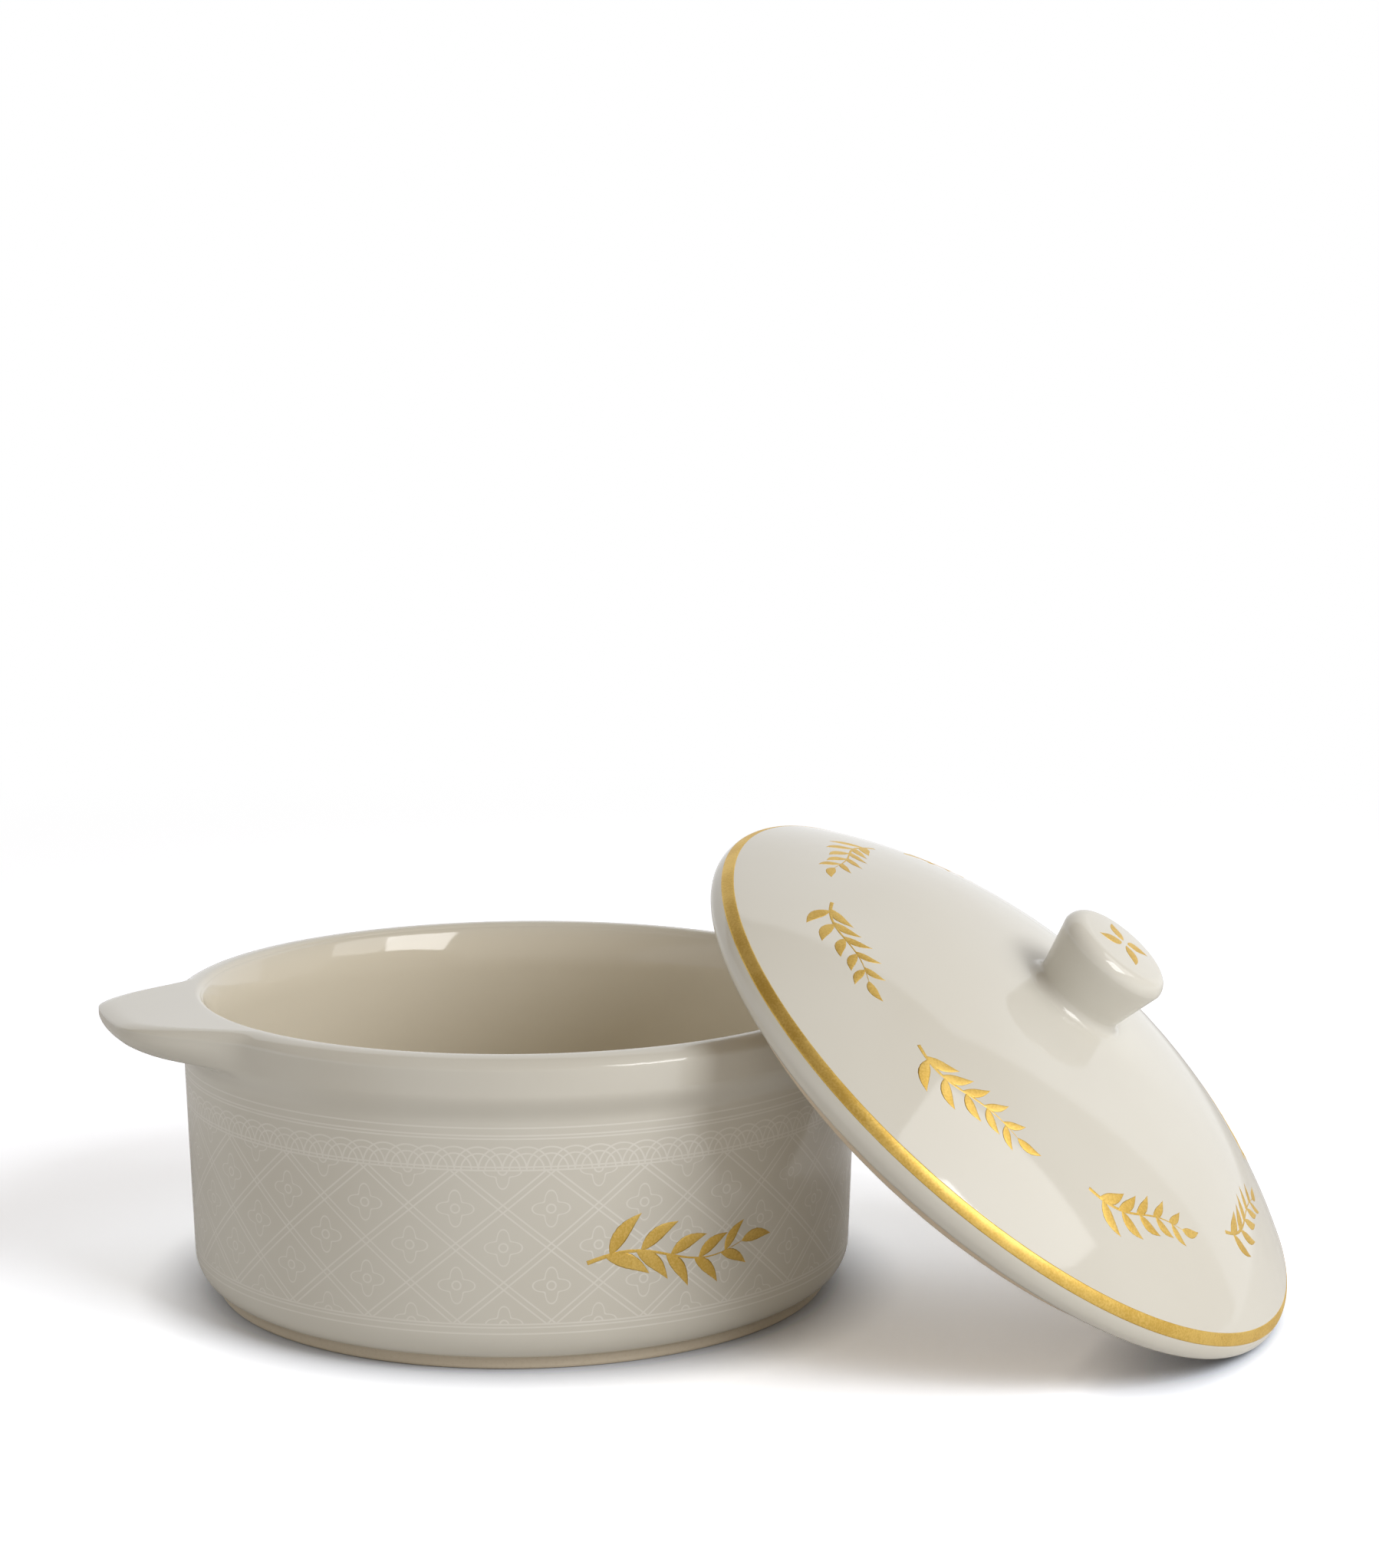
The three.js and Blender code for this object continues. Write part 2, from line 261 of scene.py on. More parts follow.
def outside_profile():
    """Foot, heel, wall, rim band and the outer edge of the lip."""
    foot_radius = WALL_RADIUS - FOOT_INSET
    heel_centre = (wall_radius(HEEL_TOP) - HEEL_RADIUS, HEEL_TOP)
    heel_from = -math.degrees(math.acos((foot_radius - heel_centre[0]) / HEEL_RADIUS))
    foot = round_arc((foot_radius - FOOT_ROUND, FOOT_ROUND), FOOT_ROUND, -90, 0)
    heel = round_arc(heel_centre, HEEL_RADIUS, heel_from, 0)
    turn = math.radians(LIP_TURN)
    inset = LIP_CROWN - LIP_ROUND
    crown_centre = (RIM_RADIUS - LIP_ROUND - inset * math.cos(turn), DISH_HEIGHT - LIP_CROWN)
    edge_centre = (RIM_RADIUS - LIP_ROUND, crown_centre[1] + inset * math.sin(turn))
    band_bottom = DISH_HEIGHT - max(LUG_ROOT_DEPTH, RIM_BAND_HEIGHT + RIM_BLEND / 2)
    band = []
    for step in range(BAND_STEPS):
        height = lerp(band_bottom, edge_centre[1], step / BAND_STEPS)
        band.append((band_radius(height), height))
    edge = round_arc(edge_centre, LIP_ROUND, 0, LIP_TURN)
    crown = round_arc(crown_centre, LIP_CROWN, LIP_TURN, 90)
    return [(0, 0), *foot, *heel, *band, *edge, *crown[1:]]


def well_profile():
    """Inner edge of the lip, the flared mouth, the well's wall, its fillet and its floor."""
    slope = math.radians(MOUTH_FLARE)
    mouth_radius = wall_radius(DISH_HEIGHT) - WALL_THICKNESS
    edge_height = DISH_HEIGHT - MOUTH_ROUND
    flare_top = edge_height + MOUTH_ROUND * math.sin(slope)
    flare_centre = (mouth_radius + MOUTH_FLARE_RADIUS, flare_top - MOUTH_FLARE_RADIUS * math.sin(slope))
    edge_radius = flare_centre[0] - (MOUTH_FLARE_RADIUS - MOUTH_ROUND) * math.cos(slope)
    edge = round_arc((edge_radius, edge_height), MOUTH_ROUND, 90, 180 - MOUTH_FLARE)
    flare = round_arc(flare_centre, MOUTH_FLARE_RADIUS, 180 - MOUTH_FLARE, 180)
    fillet_height = BASE_THICKNESS + WELL_FILLET
    fillet_centre = (wall_radius(fillet_height) - WALL_THICKNESS - WELL_FILLET, fillet_height)
    fillet = round_arc(fillet_centre, WELL_FILLET, 0, -90)
    return [*edge, *flare, *fillet, (0, BASE_THICKNESS)]


def on_dish(row, angle):
    """A point of the dish from its radius, height, share of the lugs' reach and height at their tips."""
    plan = lug_plan(angle)
    radius = row[0] + LUG_REACH * plan * row[2]
    return (radius * math.cos(angle), radius * math.sin(angle), lerp(row[1], row[3], plan))


def make_dish():
    outside = []
    for radius, height in refine(outside_profile()):
        tip_height = lug_height(height)
        outside.append((radius, height, lug_section(tip_height), tip_height))
    well = [(radius, height, 0, height) for radius, height in refine(well_profile())]
    lip = []
    for step in range(1, ARC_STEPS):
        share = step / ARC_STEPS
        lip.append(tuple(lerp(a, b, share) for a, b in zip(outside[-1], well[0])))
    return lathe("stoneware_dish", [*outside, *lip, *well], DISH_SIDES, on_dish)


# Lid


def shoulder_arc(lift, start, end):
    return arc((EDGE_CENTRE, 0), (EDGE_ROUND + lift, EDGE_ABOVE + lift), start, end)


def dome_height(radius):
    """Dome that leaves the rounded edge without a crease."""
    start = shoulder_arc(0, DOME_START, DOME_START)[0]
    slope = EDGE_ABOVE / EDGE_ROUND / math.tan(math.radians(DOME_START))
    rise = LID_CROWN - start[1]
    power = slope * start[0] / rise
    return start[1] + rise * (1 - (radius / start[0]) ** power)


def make_lid():
    land = PLUG_RADIUS - PLUG_LAND
    plug_corner = (PLUG_RADIUS - PLUG_ROUND, PLUG_BOTTOM + PLUG_ROUND)
    start = shoulder_arc(0, DOME_START, DOME_START)[0]
    steps = math.ceil(start[0] / RUN)
    radii = [start[0] * (1 - step / steps) for step in range(steps + 1)]
    dome = [(radius, dome_height(radius)) for radius in radii]
    profile = [
        (0, PLUG_BOTTOM + PLUG_DISH),
        (land - PLUG_DISH_SLOPE, PLUG_BOTTOM + PLUG_DISH),
        (land, PLUG_BOTTOM),
        *round_arc(plug_corner, PLUG_ROUND, -90, 0),
        (PLUG_RADIUS, -EDGE_BELOW),
        *arc((EDGE_CENTRE, 0), (EDGE_ROUND, EDGE_BELOW), -90, 0),
        *shoulder_arc(0, 0, DOME_START)[1:-1],
    ]
    return lathe("stoneware_lid", [*refine(profile), *dome], LID_SIDES, on_lid)


def make_gilt_line():
    outer = shoulder_arc(FILM_LIFT, GILT_FROM, GILT_TO)
    inner = shoulder_arc(-FILM_SINK, GILT_TO, GILT_FROM)
    return lathe("gilt_line", [*outer, *inner], LID_SIDES, on_lid, loop=True)


def make_knob():
    flare_radius = KNOB_NECK_RADIUS + KNOB_FLARE
    flare_bottom = dome_height(flare_radius) - FILM_SINK
    flare_centre = (flare_radius, flare_bottom + KNOB_FLARE_HEIGHT)
    crown = []
    for step in range(1, ARC_STEPS):
        share = 1 - step / ARC_STEPS
        crown.append((KNOB_FACE_RADIUS * share, KNOB_TOP + KNOB_TOP_CROWN * (1 - share**2)))
    profile = [
        (0, flare_bottom),
        (flare_radius, flare_bottom),
        *arc(flare_centre, (KNOB_FLARE, KNOB_FLARE_HEIGHT), -90, -180),
        *round_arc((KNOB_FACE_RADIUS, KNOB_TOP - KNOB_TOP_ROUND), KNOB_TOP_ROUND, 0, 90),
        *crown,
        (0, KNOB_TOP + KNOB_TOP_CROWN),
    ]
    return lathe("stoneware_knob", refine(profile), KNOB_SIDES, on_lid)


dish = make_dish()
lid = make_lid()
gilt_line = make_gilt_line()
knob = make_knob()


# Gold ornaments: plain leaf sprigs and a flower, laid on the glaze as thin films


def stroke(axis, half_width, steps):
    """Grid of flat points round a line: axis gives its points and half_width its half widths, from 0 to 1."""
    rows = []
    for step in range(steps + 1):
        share = 0.5 - 0.5 * math.cos(math.pi * step / steps)
        x, y = axis(share)
        before = axis(max(share - LINE_REACH, 0))
        after = axis(min(share + LINE_REACH, 1))
        length = math.dist(before, after)
        side = ((before[1] - after[1]) / length, (after[0] - before[0]) / length)
        width = half_width(share)
        offsets = [width * place for place in (-1, FILM_EDGE - 1, 0, 1 - FILM_EDGE, 1)]
        rows.append([(x + side[0] * offset, y + side[1] * offset) for offset in offsets])
    return rows


def leaf(foot, heading, length, width):
    """A pointed leaf that bends a little, from its foot in a heading."""
    turn = math.radians(heading)
    bend = LEAF_BEND * length

    def axis(share):
        along = length * share
        aside = bend * math.sin(math.pi * share)
        x = foot[0] + along * math.cos(turn) - aside * math.sin(turn)
        return x, foot[1] + along * math.sin(turn) + aside * math.cos(turn)

    def half_width(share):
        return max(width / 2 * math.sin(math.pi * share**LEAF_FULLNESS), LEAF_TIP)

    return stroke(axis, half_width, LEAF_STEPS)


def sprig(length, sway, pairs, leaf_length, leaf_width, stem_width):
    """A stem with pairs of leaves and a leaf at its end, lying along x."""

    def stem(share):
        return length * (share - 0.5), sway * math.sin(2 * math.pi * share)

    def half_width(share):
        return lerp(stem_width, LEAF_TIP, share)

    grids = [stroke(stem, half_width, STEM_STEPS)]
    for pair in range(pairs):
        share = lerp(LEAVES_FROM, LEAVES_TO, pair / (pairs - 1))
        size = lerp(1, LAST_PAIR, pair / (pairs - 1))
        before = stem(share - STEM_REACH)
        after = stem(share + STEM_REACH)
        heading = math.degrees(math.atan2(after[1] - before[1], after[0] - before[0]))
        for side in (-1, 1):
            foot = stem(share + SPRIG_STAGGER * side)
            grids.append(leaf(foot, heading + side * LEAF_SPREAD, leaf_length * size, leaf_width * size))
    grids.append(leaf(stem(1), 0, leaf_length * END_LEAF, leaf_width * END_LEAF))
    return grids


def film(name, grids, surface):
    """Thin closed film over flat grids, laid on a surface that gives points from x, y and lift."""
    points = []
    faces = []
    for grid in grids:
        high = {}
        low = {}
        last = len(grid) - 1
        for row, line in enumerate(grid):
            for column, (x, y) in enumerate(line):
                border = row in (0, last) or column in (0, len(line) - 1)
                high[row, column] = low[row, column] = len(points)
                points.append(surface(x, y, -FILM_SINK if border else FILM_LIFT))
                if not border:
                    low[row, column] = len(points)
                    points.append(surface(x, y, -FILM_SINK))
        for row in range(last):
            for column in range(len(grid[0]) - 1):
                ring = ((row, column), (row, column + 1), (row + 1, column + 1), (row + 1, column))
                faces.append([high[spot] for spot in ring][::-1])
                faces.append([low[spot] for spot in ring])
    return mesh_piece(name, points, faces)


def on_wall(x, y, lift):
    height = WALL_SPRIG_HEIGHT + y
    radius = wall_radius(height) + lift
    angle = math.radians(WALL_SPRIG_BEARING) + x / WALL_RADIUS
    return (radius * math.cos(angle), radius * math.sin(angle), height)


def on_dome(bearing):
    """The dome's surface for a sprig whose middle lies at a bearing."""

    def surface(x, y, lift):
        radius = LID_SPRIG_RADIUS + y
        angle = math.radians(bearing) + x / LID_SPRIG_RADIUS
        fall = dome_height(radius - SLOPE_REACH) - dome_height(radius + SLOPE_REACH)
        slope = fall / (2 * SLOPE_REACH)
        rise = lift / math.hypot(1, slope)
        return on_lid((radius + rise * slope, dome_height(radius) + rise), angle)

    return surface


def on_knob(x, y, lift):
    radius = math.hypot(x, y)
    height = KNOB_TOP + KNOB_TOP_CROWN * (1 - (radius / KNOB_FACE_RADIUS) ** 2)
    return on_lid((radius, height + lift), math.atan2(y, x))


wall_sprig = film("gold_wall_sprig", sprig(**WALL_SPRIG), on_wall)
lid_sprigs = []
for index in range(LID_SPRIGS):
    surface = on_dome(360 * index / LID_SPRIGS)
    lid_sprigs.append(film(f"gold_lid_sprig_{index + 1}", sprig(**LID_SPRIG), surface))
petals = []
for turn in PETAL_TURNS:
    foot = (PETAL_GAP * math.cos(math.radians(turn)), PETAL_GAP * math.sin(math.radians(turn)))
    petals.append(leaf(foot, turn, PETAL_LENGTH, PETAL_WIDTH))
knob_flower = film("gold_knob_flower", petals, on_knob)


# Materials


def shade(red, green, blue):
    return (red, green, blue, 1)


GLAZE_PALE = shade(0.69, 0.675, 0.615)
GLAZE_DEEP = shade(0.665, 0.645, 0.58)
# the same glaze as outside, tinted warmer inside the well: painted warm bounce light
GLAZE_PAINTED_WARM_BOUNCE = shade(0.75, 0.70, 0.585)
UNDERSIDE = shade(0.64, 0.54, 0.41)
PRINT_LINE = shade(0.80, 0.785, 0.735)
# unglazed foot, its colour darkened as painted shade under the heel
BARE_BODY_AND_SHADE = shade(0.60, 0.53, 0.42)
BARE_SPECK_AND_SHADE = shade(0.57, 0.50, 0.39)
GOLD_PALE = shade(0.86, 0.62, 0.19)
GOLD_DEEP = shade(0.70, 0.46, 0.10)

# Where the glazes pass into each other, in millimetres
BARE_AND_SHADE_SPAN = (2.2, 3)  # heights between which the glaze runs out above the foot, where the foot is also painted darker as shade
PAINTED_BOUNCE_RADII = (61.0, 65.0)  # where the painted warm bounce light inside the well passes into the outside glaze
PAINTED_BOUNCE_HEIGHTS = (4.0, 5.0)  # keep the painted warm bounce light off the underside
UNDERSIDE_BLEND = 0.06  # height over which the lid's underside passes into its glaze

# Noise scales in waves per metre, and the shares of a noise between which one tone passes into the other
CLOUD_SCALE = 22.0
CLOUD_SPAN = (0.35, 0.65)
SWELL_SCALE = 70.0
SWELL_DETAIL = 1.0
PINHOLE_SCALE = 900.0
PINHOLE_SHARE = 0.04
SPECK_SCALE = 1500.0
SPECK_SPAN = (0.5, 0.7)
WEAR_SCALE = 260.0
WEAR_SPAN = (0.55, 1.0)  # strength of the print
GOLD_GRAIN_SCALE = 2600.0
GOLD_GRAIN_DETAIL = 3.0
GOLD_CLOUD_SCALE = 120.0

# Finish of the surfaces, with reliefs in metres
BUMP_STRENGTH = 0.5
GLAZE_RELIEF = 0.00004
GLAZE_ROUGHNESS = (0.05, 0.09)
GLAZE_IOR = 1.5
BARE_ROUGHNESS = 0.3
GOLD_RELIEF = 0.00003
GOLD_ROUGHNESS = (0.42, 0.58)
GOLD_METALLIC = 0.9

# Tone-on-tone print on the wall, in millimetres
PRINT_WIDTH = 0.3
LINE_CORE = 0.25  # shares of the width between which a line fades out
LINE_RIM = 0.75
PRINT_FADE = 0.2  # height over which a field of the print begins and ends
PRINT_RADII = (WALL_RADIUS - 2, WALL_RADIUS - 1.5)  # the print lies only outside these
TRELLIS_COUNT = 24
TRELLIS_FROM = 10
TRELLIS_TO = 38.8
TRELLIS_HEIGHT = 14.4
TRELLIS_PAIR = 0.55  # from the middle of a bar to each of its two lines
FLOWER_PETALS = 4.0
FLOWER_RADIUS = 2.6
FLOWER_LOBE = 0.8
FLOWER_EYE = 0.8
ARCH_COUNT = 48
ARCH_RINGS = (1.0, 0.72)  # radii of an arch's two lines against half its width
PRINT_BORDERS = (8.2, 9.4, TRELLIS_FROM, TRELLIS_TO, 39.4, 44.6, 45.2, 46.6)  # heights of plain lines


class Graph:
    """Shader nodes of one material or of the world."""

    def __init__(self, tree):
        self.tree = tree

    def feed(self, socket, value):
        if isinstance(value, bpy.types.NodeSocket):
            self.tree.links.new(value, socket)
        else:
            socket.default_value = value

    def add(self, kind, inputs=(), **settings):
        node = self.tree.nodes.new(kind)
        for name, value in settings.items():
            setattr(node, name, value)
        for index, value in enumerate(inputs):
            if value is not None:
                self.feed(node.inputs[index], value)
        return node

    def math(self, operation, *values):
        return self.add("ShaderNodeMath", values, operation=operation).outputs[0]

    def invert(self, value):
        return self.math("SUBTRACT", 1.0, value)

    def hypot(self, first, second):
        squares = self.math("POWER", first, 2.0), self.math("POWER", second, 2.0)
        return self.math("SQRT", self.math("ADD", *squares))

    def dot(self, vector, other):
        return self.add("ShaderNodeVectorMath", (vector, other), operation="DOT_PRODUCT").outputs["Value"]

    def step(self, value, low, high):
        """Smooth step of a value between two limits."""
        inputs = (value, low, high, 0.0, 1.0)
        return self.add("ShaderNodeMapRange", inputs, interpolation_type="SMOOTHSTEP").outputs[0]

    def span(self, value, low, high):
        """A value of 0 to 1 spread over a range."""
        return self.add("ShaderNodeMapRange", (value, 0.0, 1.0, low, high)).outputs[0]

    def blend(self, share, low, high):
        """Colour between two, from the share of the second; 6, 7 and 2 are the node's colour sockets."""
        node = self.add("ShaderNodeMix", data_type="RGBA")
        self.feed(node.inputs["Factor"], share)
        self.feed(node.inputs[6], low)
        self.feed(node.inputs[7], high)
        return node.outputs[2]

    def noise(self, place, scale, detail=2.0):
        return self.add("ShaderNodeTexNoise", (place, None, scale, detail)).outputs[0]

    def bump(self, shader, depth, height):
        """Relief of a depth in metres on a shader's normal."""
        bump = self.add("ShaderNodeBump", (BUMP_STRENGTH, depth, None, height))
        self.feed(shader.inputs["Normal"], bump.outputs[0])


def new_material(name):
    material = bpy.data.materials.new(name)
    material.use_nodes = True
    graph = Graph(material.node_tree)
    shader = material.node_tree.nodes["Principled BSDF"]
    place = graph.add("ShaderNodeTexCoord").outputs["Object"]
    return material, graph, shader, place


def glaze_colour(graph, place):
    cloud = graph.step(graph.noise(place, CLOUD_SCALE), *CLOUD_SPAN)
    return graph.blend(cloud, GLAZE_PALE, GLAZE_DEEP)


def finish_glaze(graph, shader, place):
    """Slight swell and pinholes of a fired glaze; gives its roughness."""
    swell = graph.noise(place, SWELL_SCALE, SWELL_DETAIL)
    pinholes = graph.noise(place, PINHOLE_SCALE)
    height = graph.math("ADD", swell, graph.math("MULTIPLY", pinholes, PINHOLE_SHARE))
    graph.bump(shader, GLAZE_RELIEF, height)
    shader.inputs["IOR"].default_value = GLAZE_IOR
    return graph.span(swell, *GLAZE_ROUGHNESS)


def lid_glaze():
    """Pale glaze that gives way to a warmer tone on the underside."""
    material, graph, shader, place = new_material("pale_glaze")
    axis = LID_FRAME.to_3x3() @ Vector((0, 0, 1))
    along = graph.dot(place, tuple(axis))
    height = graph.math("SUBTRACT", along, axis.dot(LID_FRAME.translation) * MM)
    glazed = graph.step(height, -EDGE_BELOW * MM, (UNDERSIDE_BLEND - EDGE_BELOW) * MM)
    graph.feed(shader.inputs["Base Color"], graph.blend(glazed, UNDERSIDE, glaze_colour(graph, place)))
    graph.feed(shader.inputs["Roughness"], finish_glaze(graph, shader, place))
    return material


def dish_glaze():
    """Pale glaze with a tone-on-tone print on the wall, painted warm bounce light inside the well and an
    unglazed foot painted darker for the shade under the heel.
    """
    material, graph, shader, place = new_material("printed_glaze")
    spot = graph.add("ShaderNodeVectorMath", (place,), operation="SCALE")
    spot.inputs["Scale"].default_value = 1 / MM
    x, y, height = graph.add("ShaderNodeSeparateXYZ", (spot.outputs[0],)).outputs
    turn = graph.math("DIVIDE", graph.math("ARCTAN2", y, x), 2 * math.pi)
    radius = graph.hypot(x, y)

    def line(distance):
        """1 on a printed line, from the distance to it."""
        away = graph.math("ABSOLUTE", distance)
        return graph.invert(graph.step(away, PRINT_WIDTH * LINE_CORE, PRINT_WIDTH * LINE_RIM))

    def cell(value):
        """-0.5 to 0.5 within each unit of a value."""
        return graph.math("SUBTRACT", graph.math("FRACT", value), 0.5)

    def join(*masks):
        total = masks[0]
        for mask in masks[1:]:
            total = graph.math("MAXIMUM", total, mask)
        return total

    def within(low, high):
        """1 between two heights."""
        above = graph.step(height, low, low + PRINT_FADE)
        return graph.math("MULTIPLY", above, graph.invert(graph.step(height, high - PRINT_FADE, high)))

    across = graph.math("MULTIPLY", turn, float(TRELLIS_COUNT))
    up = graph.math("DIVIDE", graph.math("SUBTRACT", height, TRELLIS_FROM), TRELLIS_HEIGHT)
    pitch = 2 * math.pi * WALL_RADIUS / TRELLIS_COUNT
    lean = math.hypot(1 / pitch, 1 / TRELLIS_HEIGHT)
    trellis = []
    for operation in ("ADD", "SUBTRACT"):
        diagonal = graph.math("DIVIDE", cell(graph.math(operation, across, up)), lean)
        trellis.append(line(graph.math("SUBTRACT", graph.math("ABSOLUTE", diagonal), TRELLIS_PAIR)))

    def flowers(shift):
        """Four-petalled flowers, one in every second field of the trellis."""
        aside = graph.math("MULTIPLY", cell(graph.math("ADD", across, shift)), pitch)
        above = graph.math("MULTIPLY", cell(graph.math("ADD", up, shift)), TRELLIS_HEIGHT)
        away = graph.hypot(aside, above)
        wave = graph.math("MULTIPLY", graph.math("ARCTAN2", above, aside), FLOWER_PETALS)
        petal = graph.math("MULTIPLY_ADD", graph.math("COSINE", wave), FLOWER_LOBE, FLOWER_RADIUS)
        return join(line(graph.math("SUBTRACT", away, petal)), line(graph.math("SUBTRACT", away, FLOWER_EYE)))

    field = join(*trellis, flowers(0.5), flowers(0.0))
    field = graph.math("MULTIPLY", field, within(TRELLIS_FROM, TRELLIS_TO))
    arch = 2 * math.pi * WALL_RADIUS / ARCH_COUNT
    arches = graph.math("MULTIPLY", turn, float(ARCH_COUNT))
    above = graph.math("SUBTRACT", height, TRELLIS_TO)
    arcade = []
    for shift in (0.0, 0.5):
        aside = graph.math("MULTIPLY", cell(graph.math("ADD", arches, shift)), arch)
        away = graph.hypot(aside, above)
        for ring in ARCH_RINGS:
            arcade.append(line(graph.math("SUBTRACT", away, arch / 2 * ring)))
    frieze = join(*arcade)
    frieze = graph.math("MULTIPLY", frieze, within(TRELLIS_TO, TRELLIS_TO + arch / 2 + PRINT_WIDTH))
    borders = [line(graph.math("SUBTRACT", height, level)) for level in PRINT_BORDERS]
    outside = graph.step(radius, *PRINT_RADII)
    wear = graph.span(graph.noise(place, WEAR_SCALE), *WEAR_SPAN)
    pattern = graph.math("MULTIPLY", join(field, frieze, *borders), outside)
    # painted warm bounce light inside the well
    inside = graph.invert(graph.step(radius, *PAINTED_BOUNCE_RADII))
    inside = graph.math("MULTIPLY", inside, graph.step(height, *PAINTED_BOUNCE_HEIGHTS))
    ground = graph.blend(inside, glaze_colour(graph, place), GLAZE_PAINTED_WARM_BOUNCE)
    glazed = graph.blend(graph.math("MULTIPLY", pattern, wear), ground, PRINT_LINE)
    # unglazed foot, painted darker for the shade under the heel
    bare_and_shaded = graph.invert(graph.step(height, *BARE_AND_SHADE_SPAN))
    speck = graph.step(graph.noise(place, SPECK_SCALE), *SPECK_SPAN)
    body = graph.blend(speck, BARE_BODY_AND_SHADE, BARE_SPECK_AND_SHADE)
    graph.feed(shader.inputs["Base Color"], graph.blend(bare_and_shaded, glazed, body))
    gloss = finish_glaze(graph, shader, place)
    matt = graph.math("MULTIPLY", bare_and_shaded, BARE_ROUGHNESS)
    graph.feed(shader.inputs["Roughness"], graph.math("MAXIMUM", gloss, matt))
    return material


def gold():
    """Fired gold with a fine grain."""
    material, graph, shader, place = new_material("gold_lustre")
    grain = graph.noise(place, GOLD_GRAIN_SCALE, GOLD_GRAIN_DETAIL)
    cloud = graph.noise(place, GOLD_CLOUD_SCALE)
    mean = graph.math("MULTIPLY", graph.math("ADD", grain, cloud), 0.5)
    tone = graph.step(mean, *CLOUD_SPAN)
    graph.feed(shader.inputs["Base Color"], graph.blend(tone, GOLD_DEEP, GOLD_PALE))
    graph.feed(shader.inputs["Roughness"], graph.span(grain, *GOLD_ROUGHNESS))
    shader.inputs["Metallic"].default_value = GOLD_METALLIC
    graph.bump(shader, GOLD_RELIEF, grain)
    return material


PALE_GLAZE = lid_glaze()
PRINTED_GLAZE = dish_glaze()
GOLD = gold()

for piece, body, node, slot, material in (
    (dish, "dish", "dish", "dish_glaze", PRINTED_GLAZE),
    (lid, "lid", "lid", "lid_glaze", PALE_GLAZE),
    (knob, "lid", "lid_knob", "lid_glaze", PALE_GLAZE),
    (gilt_line, "lid", "lid_gilt_line", "gilt", GOLD),
):
    piece.data.materials.append(material)
    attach(piece, body)
    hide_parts(node)

for piece, body in ((wall_sprig, "dish"), (knob_flower, "lid"), *((piece, "lid") for piece in lid_sprigs)):
    piece.data.materials.append(GOLD)
    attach(piece, body)


# Studio: a white floor and backdrop, two softboxes on the right and a dim room in front; sizes in metres

FLOOR_SIZE = 12
FLOOR_WHITE = (0.30, 0.75)  # distances between which the floor passes into the white background
FLOOR_COLOUR = shade(0.82, 0.82, 0.82)
FLOOR_SEEN = shade(1.94, 2.04, 2.22)  # for the camera alone, so that the lit floor shows white
PAINTED_CONTACT_SHADOW = shade(0.28, 0.31, 0.38)  # painted contact shadow, where the object shuts the light off close by
PAINTED_SHADOW_REACH = 0.014
ROOM = shade(0.60, 0.56, 0.51)
CEILING = shade(0.19, 0.15, 0.105)
CEILING_SPAN = (0.2, 0.65)  # rise of a direction from the room to the ceiling
WHITE = shade(1, 1, 1)
LEFT_SPAN = (0.55, 0.73)  # how far to the left a direction points where the white side begins
LEFT_SLANT = 0.4  # how much further to the left it begins overhead
BACKDROP_SIDE = (-0.51, 0.86, 0)  # normals of the planes that bound the backdrop
BACKDROP_TOP = (0.24, 0.80, -0.54)
BACKDROP_BLUR = 0.02
LAMP_AIM = (0.04, -0.01, 0.04)
CAMERA_PLACE = (0.033387, -0.59909, 0.183576)
CAMERA_PITCH = 8.02  # degrees below the horizontal
CAMERA_LENS = 70.45  # focal length in millimetres
CAMERA_NEAR = 0.01


def make_floor():
    half = FLOOR_SIZE / 2
    corners = [(-half, -half, 0), (half, -half, 0), (half, half, 0), (-half, half, 0)]
    mesh = bpy.data.meshes.new("floor")
    mesh.from_pydata(corners, [], [(0, 1, 2, 3)])
    floor = bpy.data.objects.new("floor", mesh)
    bpy.context.collection.objects.link(floor)
    material, graph, shader, place = new_material("floor")
    material.node_tree.nodes.remove(shader)
    rays = graph.add("ShaderNodeLightPath").outputs
    gloss = graph.math("MAXIMUM", rays["Is Glossy Ray"], rays["Is Transmission Ray"])
    seen = graph.math("MAXIMUM", rays["Is Camera Ray"], gloss)
    distance = graph.add("ShaderNodeVectorMath", (place,), operation="LENGTH").outputs["Value"]
    far = graph.math("MULTIPLY", graph.step(distance, *FLOOR_WHITE), seen)
    # painted contact shadow: the floor's seen colour darkens where the object closes it in
    open_share = graph.add("ShaderNodeAmbientOcclusion", (None, PAINTED_SHADOW_REACH)).outputs["AO"]
    tone = graph.blend(open_share, PAINTED_CONTACT_SHADOW, FLOOR_SEEN)
    colour = graph.blend(rays["Is Camera Ray"], FLOOR_COLOUR, tone)
    diffuse = graph.add("ShaderNodeBsdfDiffuse", (colour,))
    white = graph.add("ShaderNodeEmission", (WHITE, 1.0))
    mix = graph.add("ShaderNodeMixShader", (far, diffuse.outputs[0], white.outputs[0]))
    output = material.node_tree.nodes["Material Output"]
    graph.feed(output.inputs["Surface"], mix.outputs[0])
    mesh.materials.append(material)


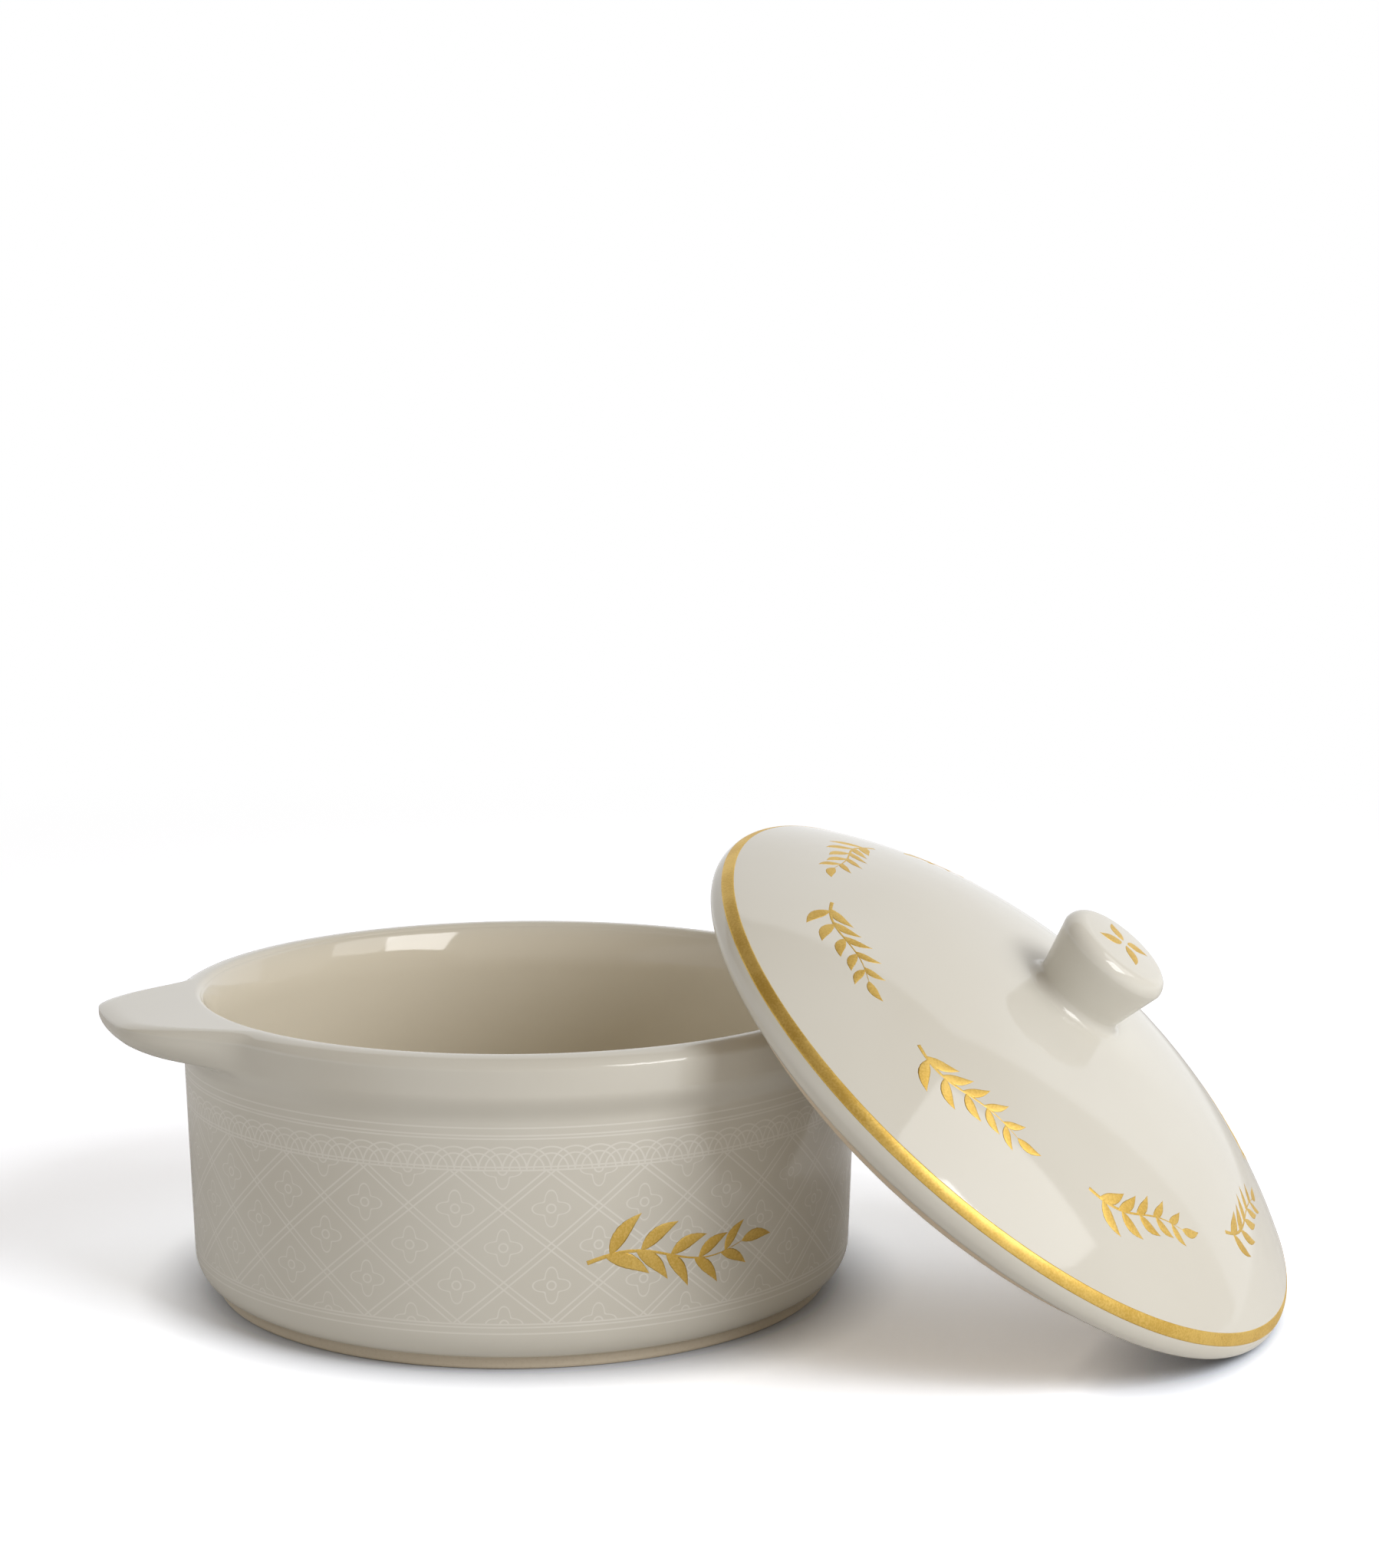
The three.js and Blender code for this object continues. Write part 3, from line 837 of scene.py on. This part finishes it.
def make_world():
    """A room that darkens overhead, with a white side on the left and a white backdrop behind."""
    world = bpy.data.worlds.new("studio")
    world.use_nodes = True
    bpy.context.scene.world = world
    graph = Graph(world.node_tree)
    direction = graph.add("ShaderNodeTexCoord").outputs["Generated"]
    aside, _, rise = graph.add("ShaderNodeSeparateXYZ", (direction,)).outputs
    overhead = graph.step(rise, *CEILING_SPAN)
    slant = graph.math("MULTIPLY", overhead, LEFT_SLANT)
    left = graph.math("SUBTRACT", graph.math("MULTIPLY", aside, -1.0), slant)
    depth = graph.math("MINIMUM", graph.dot(direction, BACKDROP_SIDE), graph.dot(direction, BACKDROP_TOP))
    behind = graph.step(depth, -BACKDROP_BLUR, BACKDROP_BLUR)
    white_side = graph.math("MAXIMUM", behind, graph.step(left, *LEFT_SPAN))
    camera = graph.add("ShaderNodeLightPath").outputs["Is Camera Ray"]
    room = graph.blend(overhead, ROOM, CEILING)
    colour = graph.blend(graph.math("MAXIMUM", white_side, camera), room, WHITE)
    graph.feed(world.node_tree.nodes["Background"].inputs["Color"], colour)


def softbox(name, azimuth, elevation, distance, size, watts):
    """An area lamp aimed at the object from a direction."""
    lamp = bpy.data.lights.new(name, "AREA")
    lamp.shape = "RECTANGLE"
    lamp.size, lamp.size_y = size
    lamp.energy = watts
    light = bpy.data.objects.new(name, lamp)
    bpy.context.collection.objects.link(light)
    turn = math.radians(azimuth)
    tilt = math.radians(elevation)
    away = Vector((math.cos(turn) * math.cos(tilt), math.sin(turn) * math.cos(tilt), math.sin(tilt)))
    light.location = Vector(LAMP_AIM) + away * distance
    light.rotation_euler = away.to_track_quat("Z", "Y").to_euler()


def make_camera():
    camera = bpy.data.objects.new("camera", bpy.data.cameras.new("camera"))
    camera.location = CAMERA_PLACE
    camera.rotation_euler = (math.radians(90 - CAMERA_PITCH), 0, 0)
    camera.data.lens = CAMERA_LENS
    camera.data.clip_start = CAMERA_NEAR
    bpy.context.collection.objects.link(camera)
    bpy.context.scene.camera = camera


make_floor()
make_world()
softbox("key", azimuth=-43.5, elevation=33, distance=0.9, size=(0.40, 0.38), watts=3.8)
softbox("side", azimuth=-15.5, elevation=38, distance=0.8, size=(0.32, 0.47), watts=1.05)
make_camera()
bpy.context.scene.view_settings.view_transform = "Standard"
